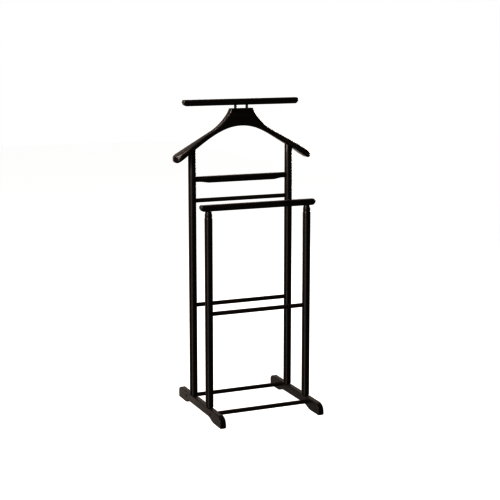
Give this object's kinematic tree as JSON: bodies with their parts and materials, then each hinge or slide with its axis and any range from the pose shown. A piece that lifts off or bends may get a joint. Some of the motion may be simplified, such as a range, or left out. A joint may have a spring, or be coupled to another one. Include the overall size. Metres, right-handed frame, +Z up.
{
  "type": "valet stand",
  "caption": "Freestanding black-stained wooden valet stand: sled feet with shoe rails, low front frame with trouser bar, tall rear frame with tie rails, broad hanger and top bar.",
  "frame": {"origin": "on the floor, under the centre of the stand's bounding box", "axes": "+Z up, +X to the right seen from the front, -Y towards the front, where the low frame with the trouser bar stands"},
  "size_m": [0.477, 0.375, 1.007],
  "materials": {
    "stained_wood": "black stain under satin lacquer",
    "plain_beech": "bare turned dowel",
    "dark_steel": "blackened steel",
    "sleeve_brass": "plain machined"
  },
  "bodies": {
    "root": {"foot_bolt_front_left": "dark_steel", "foot_bolt_front_right": "dark_steel", "foot_bolt_rear_left": "dark_steel", "foot_bolt_rear_right": "dark_steel", "front_left_post": "stained_wood", "front_middle_rail": "stained_wood", "front_right_post": "stained_wood", "front_shoe_rail": "stained_wood", "hanger": "stained_wood", "hanger_dowel_left": "plain_beech", "hanger_dowel_right": "plain_beech", "left_foot": "stained_wood", "post_insert_front_left": "sleeve_brass", "post_insert_front_right": "sleeve_brass", "post_insert_rear_left": "sleeve_brass", "post_insert_rear_right": "sleeve_brass", "rear_left_post": "stained_wood", "rear_middle_rail": "stained_wood", "rear_right_post": "stained_wood", "rear_shoe_rail": "stained_wood", "rear_tie_rail": "stained_wood", "rear_upper_rail": "stained_wood", "right_foot": "stained_wood", "shoe_rail_screw_front_left": "dark_steel", "shoe_rail_screw_front_right": "dark_steel", "shoe_rail_screw_rear_left": "dark_steel", "shoe_rail_screw_rear_right": "dark_steel", "top_bar": "stained_wood", "top_bar_pin_left": "stained_wood", "top_bar_pin_right": "stained_wood", "trouser_bar": "stained_wood", "trouser_bar_dowel_left": "plain_beech", "trouser_bar_dowel_right": "plain_beech"}
  },
  "joints": []
}
